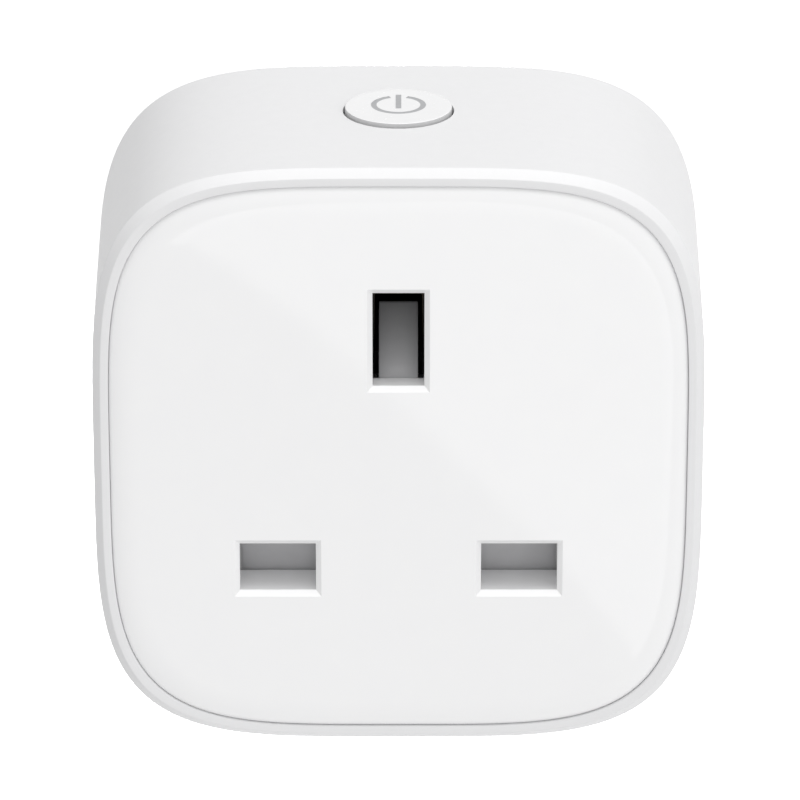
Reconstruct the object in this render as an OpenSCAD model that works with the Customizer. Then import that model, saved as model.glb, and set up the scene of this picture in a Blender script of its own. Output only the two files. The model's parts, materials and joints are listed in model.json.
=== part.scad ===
// Plug-through smart socket with energy metering, for 13 A three-pin outlets.
// +Z is up, the socket slots face -Y and the plug pins point along +Y. The origin is on the
// flat rear face, midway between the line and neutral pins' height and the earth pin's.
// A depth counts back from the front lip, so depth 0 lies at y = -body_d.

/* [Body] */
// Depth from the front lip to the rear face
body_d = 34; // [33:0.5:38]
// Width and height across the front lip's chamfer
front_w = 55.8; // [55.4:0.1:56.6]
// Width and height where the sleeve meets the rear cover
back_w = 57.8; // [57.2:0.1:58.6]
// Squareness of the outline at the front, 2 is a circle
front_n = 4.2; // [4:0.1:4.6]
// Squareness of the outline at the back
back_n = 4.1; // [4:0.1:4.6]
// How far the outline's centre lies below the pins' midpoint
drop = 0.8; // [0:0.1:1]
// Depth of the sleeve, before the rear cover
sleeve_d = 29.8; // [29.4:0.1:30.2]
// Wall of the sleeve
wall = 2; // [1.6:0.1:2.2]

/* [Face plate] */
// Width and height of the face plate
plate_w = 52.8; // [52:0.1:53]
// How far the plate's middle stands proud of the lip
crown = 0.5; // [0.3:0.1:0.8]
// Thickness behind the lip plane
plate_t = 2; // [1.6:0.1:2.2]
// Line and neutral slots: width and height
live_slot = [7, 4.6]; // [4.5:0.1:7.2]
// Earth slot: width and height
earth_slot = [4.7, 8.9]; // [4.4:0.1:9]
// Chamfer round each slot
slot_chamfer = 0.5; // [0.3:0.1:0.6]
// Depth at which the line and neutral slot collars end
collar_d = 4.8; // [4.6:0.1:4.8]

/* [Plug and socket geometry] */
// Distance between the line and neutral pins, and from them up to the earth pin
pitch = 22.2; // [22.1:0.05:22.3]
// Line and neutral pins: width, height and length behind the rear face
live_pin = [6.35, 4, 17.7]; // [3.9:0.05:18]
// Earth pin: width, height and length behind the rear face
earth_pin_size = [4, 8, 22.7]; // [3.9:0.05:23]
// Length of the insulating sleeve on the line and neutral pins
pin_sleeve_len = 9.5; // [9:0.1:9.5]
// Thickness of that sleeve
pin_sleeve_t = 0.4; // [0.3:0.05:0.5]

/* [Shutter] */
// Travel of the shutter
shutter_travel = 5; // [4.9:0.1:5.1]
// Front and back of the shutter's blanking plates, as depths
shutter_d = [5, 6.6]; // [4.9:0.1:6.7]
// Width of the ramp that the earth pin pushes
ramp_w = 3.6; // [3:0.1:3.8]
// Mean radius of each return spring
spring_r = 1; // [0.8:0.1:1.1]
// Wire radius of each return spring
spring_wire_r = 0.2; // [0.15:0.05:0.25]

/* [Power button] */
// Radius of the button's cap
button_r = 4.95; // [4.5:0.05:5.2]
// Gap round the cap
button_gap = 0.2; // [0.15:0.05:0.3]
// How far the cap stands proud of the sleeve
button_proud = 0.4; // [0.3:0.1:0.6]
// Depth of the button's axis behind the lip
button_d = 16.6; // [16:0.1:17.4]
// Outer radius of the power symbol's ring
icon_r = 2.55; // [2.2:0.05:2.8]
// Stroke width of the power symbol
icon_stroke = 0.52; // [0.4:0.02:0.6]

/* [Hidden] */

$fn = 48;
eps = 0.05;
outline_points = 72;

// Slot and pin centres
live_x = pitch / 2;
live_z = -pitch / 2;
earth_z = pitch / 2;

// Half-widths of the outline: lip, plate recess and the ledge that the plate rests on
lip_chamfer = 0.75;
lip_chamfer_d = 0.95;
lip_half = front_w / 2 - lip_chamfer;
recess_half = plate_w / 2 + 0.08;
ledge_half = plate_w / 2 - 1.8;
ledge_t = 1.2;
inner_step = 0.5;
sleeve_slope = (back_w - front_w) / 2 / (sleeve_d - lip_chamfer_d);
draft = atan(sleeve_slope);

// Face plate: insets and depths, as shares of the crown, along its rounded edge
plate_edge = [[2.2, -1], [0.8, -0.66], [0.25, -0.2]];
plate_edge_d = 0.25;
collar_wall = 0.9;
root = 0.5;

// Rear cover: insets and depths, as shares of the fillet's depth, along its rounded edge
cover_edge = [[0, 0], [0.08, 0.38], [0.29, 0.7]];
cover_flat_inset = 0.62;
cover_step = 0.35;
cover_half = back_w / 2 - cover_step;
cover_floor = 2.4;
fillet_d = body_d - sleeve_d;
rear_flat_t = 0.4;
register_d = 1.6;
register_gap = 0.15;
live_boss = [10, 7.6];
earth_boss = [7.6, 12];

// Cover screws and the posts that take them
post_xy = 18.6;
post_r = 2.6;
post_d = 24.2;
post_web = [1.8, 6.8];
post_web_t = 1.4;
cover_screw_r = 1.3;
cover_shank_r = 1.1;
cover_head_r = 2.4;
cover_head_t = 1.5;
cover_screw_len = 6.6;
head_seat_d = body_d - 1.8;

// Small screws, for the carrier and the clamp
small_r = 0.9;
small_hole_r = 1.1;
small_head_r = 1.8;
small_head_t = 1.2;
boss_r = 2.2;

// Contacts and the carrier round them
carrier_d = shutter_d[1] + 0.2;
contact_gap = 4.4;
contact_t = 0.6;
live_contact_d = [11.2, 19.4];
earth_contact_d = [11.2, 24.2];
carrier_half = [17, 4];
carrier_tower = [9.2, 11.2];
carrier_spine = 4.6;
carrier_screw_places = [[-18.8, live_z], [18.8, live_z], [0, 20.6]];
ear_t = 2;
ear_r = 2.6;
live_way = [6.9, 4.6];
earth_way = [4.6, 8.6];
leaf_room = contact_gap + 2 * contact_t + 0.1;
live_leaf_w = 6;
earth_leaf_w = 7.6;
tail_x = live_x - 2.2;
tail_size = [1.6, 2];
shelf_half = 14;
shelf_z = -23.2;
shelf_t = 1.2;
spring_x = 5;
spring_d = 5.5;
spring_turns = 7;

// Shutter heights
blank_z = [live_z - 2.7, live_z + 2.7];
blank_x = live_x + 4.1;
spine_x = 4;
ramp_front = [2.5, 6.4];
ramp_back = [8, 11.9];
ramp_slack = 0.4;

// Pins inside the rear cover
flange_d = [28.4, 29.9];
flange_margin = 1;
clamp_d = [26.8, 28.3];
clamp_half = [20.6, 4];
clamp_arm = [5, earth_z + 5.4];
clamp_screw_places = [[-18.4, live_z], [18.4, live_z], [0, 0.6]];
live_tail = [3, 2];
earth_tail = [2, 3];
tip_len = 1.5;
tip_inset = 0.9;

// Boards
board_d = 22;
board_t = 1.6;
board_half = 25.2;
button_notch = 7;
control_z = 17.8;
control_t = 1.2;
control_half = 9;
control_d = [11.6, board_d];
link_t = 1;
live_link_size = [3.4, 5.4];
earth_link_size = [3.2, 5];

// Parts on the main board: centres in the front view, then width, height and depth
relay_place = [14.1, 5];
relay_size = [15.4, 20.4, 10.2];
transformer_place = [-10.8, 8.1];
core_size = [9.8, 10.4, 10.6];
core_window = [6.8, 12, 6.6];
core_leg = 2;
coil_size = [6.4, 12.4, 6.2];
film_place = [-15.1, -19.4];
film_size = [11, 5.6, 11];
bridge_place = [-7.2, -2.2];
bridge_size = [4.2, 4.8, 2.6];
regulator_place = [-11.5, 4];
regulator_size = [4.6, 3.6, 1.5];
metering_place = [12, 4];
metering_size = [10, 4, 1.6];
shunt_place = [12.5, -2.6];
shunt_size = [7, 3, 2.2];
shunt_leg = 1.2;
shunt_t = 0.6;

// Round parts on the main board: centres, then radius and height
bulk_places = [[-20.4, -1], [-20.4, 8.2]];
bulk_size = [4, 11.6];
output_place = [-13.4, 17.9];
output_size = [3.15, 7];
can_groove = [0.25, 0.5];
choke_place = [18.6, -19.6];
choke_flange = [3, 1];
choke_core = [2.4, 8];
varistor_place = [12.4, -20.2];
varistor_size = [3.6, 3];
varistor_lead = [0.35, 3];
lead_pitch = 4;
resistor_place = [-12.5, -2.4];
resistor_size = [1.7, 9];

// Radio, below the contacts
wifi_board_x = 8.6;
wifi_board_z = [-18.4, -17.4];
wifi_shield_x = 6.2;
wifi_shield_z = [-20.8, -18.4];
wifi_shield_d = [12.4, board_d - 0.6];

// Button stack, as heights at the button's axis
skin_z = front_w / 2 - drop + sleeve_slope * (button_d - lip_chamfer_d);
plunger_r = 1.7;
plunger_top = 23.8;
plunger_len = 2;
plunger_gap = 0.05;
tact_size = [6, 6, 3.4];
led_x = 5.2;
led_size = [1.6, 0.8, 0.7];
cap_skirt = 2.6;
flange_t = 0.8;
flange_extra = 0.95;
icon_depth = 0.3;
icon_shift = 0.5;
icon_gap = 3 * icon_stroke;

// Superellipse outline, squarer as n grows
function squircle(half, n) = [
    for (i = [0 : outline_points - 1])
    let (t = 360 * i / outline_points, c = cos(t), s = sin(t))
    half * [sign(c) * pow(abs(c), 2 / n), sign(s) * pow(abs(s), 2 / n)]
];

// Upright plate with the body's outline, from a depth back by a thickness
module slab(half, n, depth, t) {
    translate([0, depth + t - body_d, -drop])
        rotate([90, 0, 0])
            linear_extrude(t)
                polygon(squircle(half, n));
}

// Box between two widths, two depths and two heights
module block(x, d, z) {
    translate([x[0], d[0] - body_d, z[0]])
        cube([x[1] - x[0], d[1] - d[0], z[1] - z[0]]);
}

// Box of a given width and height centred on a place in the front view
module bar(place, size, d) {
    block([place.x - size.x / 2, place.x + size.x / 2], d, [place.y - size.y / 2, place.y + size.y / 2]);
}

// Round rod along the depth
module rod(place, r, d) {
    translate([place.x, d[1] - body_d, place.y])
        rotate([90, 0, 0])
            cylinder(r = r, h = d[1] - d[0]);
}

// Stands its children on the main board's front or back
module on_front(place) {
    translate([place.x, board_d - body_d, place.y])
        rotate([90, 0, 0])
            children();
}

module on_back(place) {
    translate([place.x, board_d + board_t - body_d, place.y])
        rotate([-90, 0, 0])
            children();
}

// Box standing on a board
module chip(size) {
    translate([-size.x / 2, -size.y / 2, 0])
        cube(size);
}

// Widening mouth of one slot, cut into the face plate
module slot_mouth(place, size) {
    mouth = size + [2, 2] * (slot_chamfer + crown);
    hull() {
        bar(place, size, [slot_chamfer - crown, slot_chamfer - crown + eps]);
        bar(place, mouth, [-2 * crown, -2 * crown + eps]);
    }
    bar(place, size, [-crown, collar_d + 1]);
}

// Frame in which the button slides, square to the drafted sleeve
module button_frame() {
    translate([0, button_d - body_d, skin_z])
        rotate([draft, 0, 0])
            children();
}

// Sleeve with the front lip, the plate recess, the button hole and the screw posts
module front_housing() {
    color("white")
    difference() {
        union() {
            difference() {
                hull() {
                    slab(lip_half, front_n, 0, eps);
                    slab(front_w / 2, front_n, lip_chamfer_d, eps);
                    slab(back_w / 2, back_n, sleeve_d - eps, eps);
                }
                hull() {
                    slab(front_w / 2 - wall - inner_step, front_n, plate_t + ledge_t, eps);
                    slab(back_w / 2 - wall, back_n, sleeve_d, eps);
                }
            }
            for (sx = [-1, 1], sz = [-1, 1]) {
                screw_post(sx, sz);
            }
        }
        slab(recess_half, front_n, -1, 1 + plate_t + eps);
        slab(ledge_half, front_n, plate_t, ledge_t + 1);
        button_frame()
            translate([0, 0, -wall - 2])
                cylinder(r = button_r + button_gap, h = wall + 5);
    }
}

// Centre of one cover screw
function post_place(sx, sz) = [sx * post_xy, sz * post_xy - drop];

// Post for one cover screw, tied to the sleeve's corner by a web
module screw_post(sx, sz) {
    place = post_place(sx, sz);
    web_short = 0.3;
    post_end = sleeve_d - register_d;
    difference() {
        rod(place, post_r, [post_d, post_end]);
        rod(place, cover_shank_r, [post_d - 1, sleeve_d]);
    }
    translate([place.x, post_d + web_short - body_d, place.y])
        rotate([0, -45 * sz * sx - (sx < 0 ? 180 : 0), 0])
            translate([post_web[0], 0, -post_web_t / 2])
                cube([post_web[1] - post_web[0], post_end - post_d - 2 * web_short, post_web_t]);
}

// Gloss face plate with three slots, two collars and three screw bosses
module face_plate() {
    color("whitesmoke")
    difference() {
        union() {
            hull() {
                for (edge = plate_edge) {
                    slab(plate_w / 2 - edge[0], front_n, edge[1] * crown, eps);
                }
                slab(plate_w / 2, front_n, plate_edge_d, plate_t - plate_edge_d);
            }
            for (sx = [-1, 1]) {
                bar([sx * live_x, live_z], live_slot + [2, 2] * collar_wall, [plate_t - root, collar_d]);
            }
            for (place = carrier_screw_places) {
                rod(place, boss_r, [plate_t - root, carrier_d]);
            }
        }
        for (sx = [-1, 1]) {
            slot_mouth([sx * live_x, live_z], live_slot);
        }
        slot_mouth([0, earth_z], earth_slot);
        for (place = carrier_screw_places) {
            rod(place, small_r, [plate_t + 0.6, carrier_d + 1]);
        }
    }
}

// Outside of the rear cover, with the register that enters the sleeve
module cover_outside() {
    hull() {
        for (edge = cover_edge) {
            slab(cover_half - edge[0] * fillet_d, back_n, sleeve_d + edge[1] * fillet_d, eps);
        }
        slab(cover_half - cover_flat_inset * fillet_d, back_n, body_d - rear_flat_t, eps);
    }
    slab(cover_half - cover_flat_inset * fillet_d, back_n, body_d - rear_flat_t, rear_flat_t);
    slab(back_w / 2 - wall - register_gap, back_n, sleeve_d - register_d, register_d + eps);
}

// Rear cover with pin openings, screw recesses and bosses for the clamp
module rear_cover() {
    hollow_d = sleeve_d - register_d - 1;
    boss_end = body_d - 1;
    color("white")
    difference() {
        union() {
            difference() {
                cover_outside();
                slab(back_w / 2 - wall - 1.6, back_n, hollow_d, body_d - cover_floor - hollow_d);
            }
            for (sx = [-1, 1]) {
                bar([sx * live_x, live_z], live_boss, [flange_d[1], boss_end]);
                for (sz = [-1, 1]) {
                    rod(post_place(sx, sz), post_r + 0.6, [sleeve_d - register_d + eps, boss_end]);
                }
            }
            bar([0, earth_z], earth_boss, [flange_d[1], boss_end]);
            for (place = clamp_screw_places) {
                rod(place, boss_r, [clamp_d[1], boss_end]);
            }
        }
        for (sx = [-1, 1]) {
            bar([sx * live_x, live_z], [live_pin.x, live_pin.y], [sleeve_d - 1, body_d + 1]);
            for (sz = [-1, 1]) {
                rod(post_place(sx, sz), cover_screw_r + 0.2, [hollow_d, body_d]);
                rod(post_place(sx, sz), cover_head_r + 0.25, [head_seat_d, body_d + 1]);
            }
        }
        bar([0, earth_z], [earth_pin_size.x, earth_pin_size.y], [sleeve_d - 1, body_d + 1]);
        for (place = clamp_screw_places) {
            rod(place, small_r, [clamp_d[1] - 1, body_d - 1.4]);
        }
    }
}

// Pan-head screw along the depth, with its head at the back and a cross recess
module screw(place, r, head_r, head_d, head_t, length) {
    recess_w = 0.5;
    recess_d = head_d - 0.6;
    difference() {
        union() {
            rod(place, head_r, [head_d - head_t, head_d]);
            rod(place, r, [head_d - head_t - length, head_d - head_t + eps]);
        }
        bar(place, [head_r * 1.1, recess_w], [recess_d, head_d + 1]);
        bar(place, [recess_w, head_r * 1.1], [recess_d, head_d + 1]);
    }
}

module cover_screws() {
    head_d = head_seat_d + cover_head_t;
    color("silver")
    for (sx = [-1, 1], sz = [-1, 1]) {
        screw(post_place(sx, sz), cover_shank_r, cover_head_r, head_d, cover_head_t, cover_screw_len);
    }
}

module carrier_screws() {
    color("silver")
    for (place = carrier_screw_places) {
        screw(place, small_r, small_head_r, carrier_d + ear_t + small_head_t, small_head_t, 6);
    }
}

// The clamp screws go in from the front, so they are the same screws turned round
module clamp_screws() {
    head_d = clamp_d[0] - small_head_t;
    color("silver")
    for (place = clamp_screw_places) {
        translate([0, 2 * (head_d - body_d), 0])
            mirror([0, 1, 0])
                screw(place, small_r, small_head_r, head_d, small_head_t, 5);
    }
}

// Cap with a face parallel to the sleeve, a retaining flange inside and a stem
module power_button() {
    color("white")
    difference() {
        union() {
            button_frame() {
                translate([0, 0, -cap_skirt])
                    cylinder(r = button_r, h = cap_skirt + button_proud);
                translate([0, 0, -cap_skirt - flange_t])
                    cylinder(r = button_r + flange_extra, h = flange_t);
            }
            translate([0, button_d - body_d, plunger_top + plunger_gap])
                cylinder(r = plunger_r, h = skin_z - cap_skirt - plunger_top);
        }
        button_frame()
            symbol_solid(button_proud - icon_depth, 1);
    }
}

// Ring open at the back and a bar through the opening: the power symbol
module symbol_solid(bottom, t) {
    translate([0, icon_shift, bottom]) {
        difference() {
            cylinder(r = icon_r, h = t);
            translate([0, 0, -eps])
                cylinder(r = icon_r - icon_stroke, h = t + 2 * eps);
            translate([-icon_gap / 2, 0, -eps])
                cube([icon_gap, 2 * icon_r, t + 2 * eps]);
        }
        translate([-icon_stroke / 2, -0.4 * icon_r, 0])
            cube([icon_stroke, 1.5 * icon_r, t]);
    }
}

module power_icon() {
    color("darkgray")
    button_frame()
        symbol_solid(button_proud - icon_depth, icon_depth);
}

module tact_plunger() {
    color("dimgray")
    translate([0, button_d - body_d, plunger_top - plunger_len])
        cylinder(r = plunger_r, h = plunger_len);
}

module tact_switch() {
    color("black")
    difference() {
        translate([0, button_d - body_d, control_z + control_t])
            chip(tact_size);
        translate([0, button_d - body_d, plunger_top - plunger_len - 0.6])
            cylinder(r = plunger_r + 0.1, h = 2 * plunger_len);
    }
}

module control_board() {
    color("green")
    block([-control_half, control_half], control_d, [control_z, control_z + control_t]);
}

module status_led() {
    color("white")
    translate([led_x, button_d - body_d, control_z + control_t])
        chip(led_size);
}

// Safety shutter: a ramp behind the earth slot, a spine and two blanking plates
module shutter() {
    color("gainsboro")
    union() {
        translate([-ramp_w / 2, -body_d, 0])
            rotate([90, 0, 90])
                linear_extrude(ramp_w)
                    polygon([
                        ramp_front,
                        ramp_back,
                        [ramp_back.x + ramp_slack, ramp_back.y],
                        [ramp_back.x + ramp_slack, ramp_back.y - 3],
                        [shutter_d[1], ramp_front.y - 1],
                        [shutter_d[1], ramp_front.y - 2],
                        [ramp_front.x, ramp_front.y - 2]
                    ]);
        block([-spine_x, spine_x], shutter_d, [blank_z[0], ramp_front.y - 1]);
        block([-blank_x, blank_x], shutter_d, blank_z);
    }
}

// One compression spring along +Z as a swept round wire
module coil_spring(length) {
    steps = 10;
    sides = 6;
    rings = spring_turns * steps;
    rise = length - 2 * spring_wire_r;
    points = [
        for (i = [0 : rings], j = [0 : sides - 1])
        let (a = 360 * i / steps, b = 360 * j / sides, r = spring_r + spring_wire_r * cos(b))
        [r * cos(a), r * sin(a), spring_wire_r * (1 + sin(b)) + rise * i / rings]
    ];
    walls = [
        for (i = [0 : rings - 1], j = [0 : sides - 1])
        let (k = (j + 1) % sides, p = i * sides, q = p + sides)
        [p + j, q + j, q + k, p + k]
    ];
    first = [for (j = [0 : sides - 1]) j];
    last = [for (j = [0 : sides - 1]) rings * sides + sides - 1 - j];
    polyhedron(points, concat([first, last], walls));
}

module shutter_springs() {
    color("silver")
    for (sx = [-1, 1]) {
        translate([sx * spring_x, spring_d - body_d, shelf_z])
            coil_spring(blank_z[0] - shelf_z);
    }
}

// Carrier that holds the three contacts, closes the shutter's track and seats its springs
module contact_carrier() {
    live_d = [carrier_d, live_contact_d[1] + contact_t];
    ear_d = [carrier_d, carrier_d + ear_t];
    color("black")
    difference() {
        union() {
            block([-1, 1] * carrier_half.x, live_d, [live_z - carrier_half.y, live_z + carrier_half.y]);
            bar([0, earth_z], carrier_tower, [carrier_d, earth_contact_d[1]]);
            block([-1, 1] * carrier_spine, live_d, [live_z, earth_z]);
            block([-1, 1] * shelf_half, ear_d, [shelf_z - shelf_t, live_z]);
            block([-1, 1] * shelf_half, [spring_d - 1.6, ear_d[1]], [shelf_z - shelf_t, shelf_z]);
            for (place = carrier_screw_places) {
                rod(place, ear_r, ear_d);
            }
            block([-1.5, 1.5], ear_d, [earth_z + 5, carrier_screw_places[2].y]);
        }
        for (sx = [-1, 1]) {
            bar([sx * live_x, live_z], live_way, [carrier_d - 1, live_d[1] + 1]);
            bar([sx * live_x, live_z], [live_way.x, leaf_room], [live_contact_d[0], live_d[1] + 1]);
        }
        bar([0, earth_z], earth_way, [carrier_d - 1, earth_contact_d[1] + 1]);
        bar([0, earth_z], [leaf_room, earth_way.y], [earth_contact_d[0], earth_contact_d[1] + 1]);
        shutter_way(2.2);
        for (place = carrier_screw_places) {
            rod(place, small_hole_r, [carrier_d - 1, ear_d[1] + 1]);
        }
    }
}

// Slot in the carrier in which the back of the shutter's ramp slides
module shutter_way(half) {
    low = ramp_front.y - 3 - shutter_travel;
    block([-half, half], [carrier_d - 1, ramp_back.x + 2 * ramp_slack], [low, earth_z]);
}

// Clip with two leaves above and below the pin, a back wall and a tail through the board
module live_contact(side) {
    place = [side * live_x, live_z];
    leaf_z = contact_gap / 2 + contact_t / 2;
    back_d = [live_contact_d[1] - contact_t, live_contact_d[1]];
    color("goldenrod") {
        for (sz = [-1, 1]) {
            bar(place + [0, sz * leaf_z], [live_leaf_w, contact_t], live_contact_d);
        }
        bar(place, [live_leaf_w, contact_gap + 2 * contact_t], back_d);
        bar([side * tail_x, live_z], tail_size, [back_d[1] - eps, board_d + board_t + 0.8]);
    }
}

module line_contact() {
    live_contact(1);
}

module neutral_contact() {
    live_contact(-1);
}

module earth_contact() {
    leaf_x = contact_gap / 2 + contact_t / 2;
    back_d = [earth_contact_d[1] - contact_t, earth_contact_d[1]];
    color("goldenrod") {
        for (sx = [-1, 1]) {
            bar([sx * leaf_x, earth_z], [contact_t, earth_leaf_w], earth_contact_d);
        }
        bar([0, earth_z], [contact_gap + 2 * contact_t, earth_leaf_w], back_d);
    }
}

// Plug pin with a tapered tip, a flange inside the cover and a tail towards the board.
// The core is the pin's size where an insulating sleeve sits on it.
module plug_pin(place, size, core, sleeve_len, tail) {
    tip = size - [2, 2, 0] * tip_inset;
    rear = body_d + size.z;
    flange = [size.x, size.y] + [2, 2] * flange_margin;
    bar(place, core, [flange_d[0], body_d + sleeve_len]);
    hull() {
        bar(place, [size.x, size.y], [body_d + sleeve_len, rear - tip_len]);
        bar(place, [tip.x, tip.y], [rear - eps, rear]);
    }
    bar(place, flange, flange_d);
    bar(place, tail, [board_d + board_t + 1, flange_d[0] + eps]);
}

module live_plug_pin(side) {
    core = [live_pin.x, live_pin.y] - [2, 2] * pin_sleeve_t;
    color("gold")
    plug_pin([side * live_x, live_z], live_pin, core, pin_sleeve_len, live_tail);
}

module line_pin() {
    live_plug_pin(1);
}

module neutral_pin() {
    live_plug_pin(-1);
}

module earth_pin() {
    color("gold")
    plug_pin([0, earth_z], earth_pin_size, [earth_pin_size.x, earth_pin_size.y], 0, earth_tail);
}

module live_pin_sleeve(side) {
    place = [side * live_x, live_z];
    core = [live_pin.x, live_pin.y] - [2, 2] * pin_sleeve_t;
    color("black")
    difference() {
        bar(place, [live_pin.x, live_pin.y], [flange_d[1], body_d + pin_sleeve_len]);
        bar(place, core, [flange_d[1] - 1, body_d + pin_sleeve_len + 1]);
    }
}

module line_pin_sleeve() {
    live_pin_sleeve(1);
}

module neutral_pin_sleeve() {
    live_pin_sleeve(-1);
}

// Plate that clamps the three pin flanges against the rear cover
module pin_clamp() {
    cut_d = [clamp_d[0] - 1, clamp_d[1] + 1];
    slack = [0.2, 0.2];
    color("dimgray")
    difference() {
        union() {
            block([-1, 1] * clamp_half.x, clamp_d, [live_z - clamp_half.y, live_z + clamp_half.y]);
            block([-1, 1] * clamp_arm[0], clamp_d, [live_z, clamp_arm[1]]);
        }
        for (sx = [-1, 1]) {
            bar([sx * live_x, live_z], live_tail + slack, cut_d);
        }
        bar([0, earth_z], earth_tail + slack, cut_d);
        for (place = clamp_screw_places) {
            rod(place, small_hole_r, cut_d);
        }
    }
}

// Brass strips on the board's back that carry the current from the plug pins
module live_link(side) {
    back_d = board_d + board_t;
    color("goldenrod")
    bar([side * (live_x + 1.4), live_z + 1.6], live_link_size, [back_d, back_d + link_t]);
}

module line_link() {
    live_link(1);
}

module neutral_link() {
    live_link(-1);
}

module earth_link() {
    color("goldenrod")
    bar([0, earth_z], earth_link_size, [earth_contact_d[1], board_d + board_t + link_t]);
}

// Main board across the sleeve, cut out round the earth contact, the contact tails and the button
module main_board() {
    cut_d = [board_d - 1, board_d + board_t + 1];
    color("green")
    difference() {
        slab(board_half, front_n, board_d, board_t);
        bar([0, earth_z], carrier_tower + [0.6, 0.6], cut_d);
        block([-button_notch, button_notch], cut_d, [plunger_top - 1, back_w]);
        for (sx = [-1, 1]) {
            bar([sx * tail_x, live_z], tail_size + [0.2, 0.2], cut_d);
        }
    }
}

module relay() {
    color("dodgerblue")
    on_front(relay_place)
        chip(relay_size);
}

module transformer_core() {
    color("dimgray")
    on_front(transformer_place)
        difference() {
            chip(core_size);
            translate([0, 0, core_leg])
                chip(core_window);
        }
}

module transformer_coil() {
    color("gold")
    on_front(transformer_place)
        translate([0, 0, core_leg + (core_window.z - coil_size.z) / 2])
            chip(coil_size);
}

module line_choke() {
    color("black")
    on_front(choke_place) {
        cylinder(r = choke_flange[0], h = choke_flange[1]);
        cylinder(r = choke_core[0], h = choke_core[1]);
        translate([0, 0, choke_core[1] - eps])
            cylinder(r = choke_flange[0], h = choke_flange[1]);
    }
}

// Electrolytic capacitor, of a radius and height, with a rolled groove near its foot
module can_capacitor(size) {
    difference() {
        cylinder(r = size[0], h = size[1]);
        translate([0, 0, 1])
            difference() {
                cylinder(r = size[0] + 1, h = can_groove[1]);
                translate([0, 0, -eps])
                    cylinder(r = size[0] - can_groove[0], h = 1);
            }
    }
}

module bulk_capacitor_a() {
    color("midnightblue")
    on_front(bulk_places[0])
        can_capacitor(bulk_size);
}

module bulk_capacitor_b() {
    color("midnightblue")
    on_front(bulk_places[1])
        can_capacitor(bulk_size);
}

module output_capacitor() {
    color("midnightblue")
    on_front(output_place)
        can_capacitor(output_size);
}

module film_capacitor() {
    color("yellow")
    on_front(film_place)
        chip(film_size);
}

// Coated disc standing on its edge on two leads
module varistor() {
    color("royalblue")
    on_front(varistor_place) {
        translate([-varistor_size[1] / 2, 0, varistor_size[0] + 1.4])
            rotate([0, 90, 0])
                cylinder(r = varistor_size[0], h = varistor_size[1]);
        for (sz = [-1, 1]) {
            translate([0, sz * lead_pitch / 2, 0])
                cylinder(r = varistor_lead[0], h = varistor_lead[1]);
        }
    }
}

module fusible_resistor() {
    color("lightgreen")
    on_front(resistor_place)
        cylinder(r = resistor_size[0], h = resistor_size[1]);
}

module bridge_rectifier() {
    color("black")
    on_front(bridge_place)
        chip(bridge_size);
}

module regulator() {
    color("black")
    on_back(regulator_place)
        chip(regulator_size);
}

module metering_chip() {
    color("black")
    on_back(metering_place)
        chip(metering_size);
}

// Metal strip bent into a low bridge, in series with the line
module shunt_resistor() {
    span = [shunt_size.x - 2 * shunt_leg, shunt_size.y + 1, shunt_size.z - shunt_t];
    color("silver")
    on_back(shunt_place)
        difference() {
            chip(shunt_size);
            translate([0, 0, -eps])
                chip(span);
        }
}

module wifi_board() {
    color("green")
    block([-1, 1] * wifi_board_x, [carrier_d + ear_t + 0.4, board_d], wifi_board_z);
}

module wifi_shield() {
    color("silver")
    block([-1, 1] * wifi_shield_x, wifi_shield_d, wifi_shield_z);
}

front_housing();
face_plate();
rear_cover();
cover_screws();
power_button();
power_icon();
tact_plunger();
tact_switch();
control_board();
status_led();
shutter();
shutter_springs();
contact_carrier();
carrier_screws();
line_contact();
neutral_contact();
earth_contact();
line_pin();
neutral_pin();
earth_pin();
line_pin_sleeve();
neutral_pin_sleeve();
pin_clamp();
clamp_screws();
line_link();
neutral_link();
earth_link();
main_board();
relay();
transformer_core();
transformer_coil();
line_choke();
bulk_capacitor_a();
bulk_capacitor_b();
output_capacitor();
film_capacitor();
varistor();
fusible_resistor();
bridge_rectifier();
regulator();
metering_chip();
shunt_resistor();
wifi_board();
wifi_shield();
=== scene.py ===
import json
import math

import bmesh
import bpy
from mathutils import Matrix, Vector


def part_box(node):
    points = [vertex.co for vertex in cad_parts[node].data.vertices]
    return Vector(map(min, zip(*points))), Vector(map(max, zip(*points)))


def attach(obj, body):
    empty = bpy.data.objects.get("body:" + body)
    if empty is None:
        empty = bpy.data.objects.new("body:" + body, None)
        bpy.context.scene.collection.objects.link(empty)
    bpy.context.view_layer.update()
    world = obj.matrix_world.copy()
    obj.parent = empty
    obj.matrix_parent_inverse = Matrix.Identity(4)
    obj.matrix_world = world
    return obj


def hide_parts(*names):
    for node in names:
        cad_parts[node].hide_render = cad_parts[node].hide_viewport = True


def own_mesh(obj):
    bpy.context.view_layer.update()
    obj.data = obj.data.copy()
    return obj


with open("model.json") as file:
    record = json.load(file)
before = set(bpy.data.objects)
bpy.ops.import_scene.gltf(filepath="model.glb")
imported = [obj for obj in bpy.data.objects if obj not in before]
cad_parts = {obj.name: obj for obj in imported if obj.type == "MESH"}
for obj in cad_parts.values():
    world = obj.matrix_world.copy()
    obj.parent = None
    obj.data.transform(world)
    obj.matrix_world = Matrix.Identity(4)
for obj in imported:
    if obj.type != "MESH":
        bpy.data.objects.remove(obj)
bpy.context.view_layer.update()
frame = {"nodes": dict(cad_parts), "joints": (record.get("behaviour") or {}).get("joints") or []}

MM = 0.001

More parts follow.
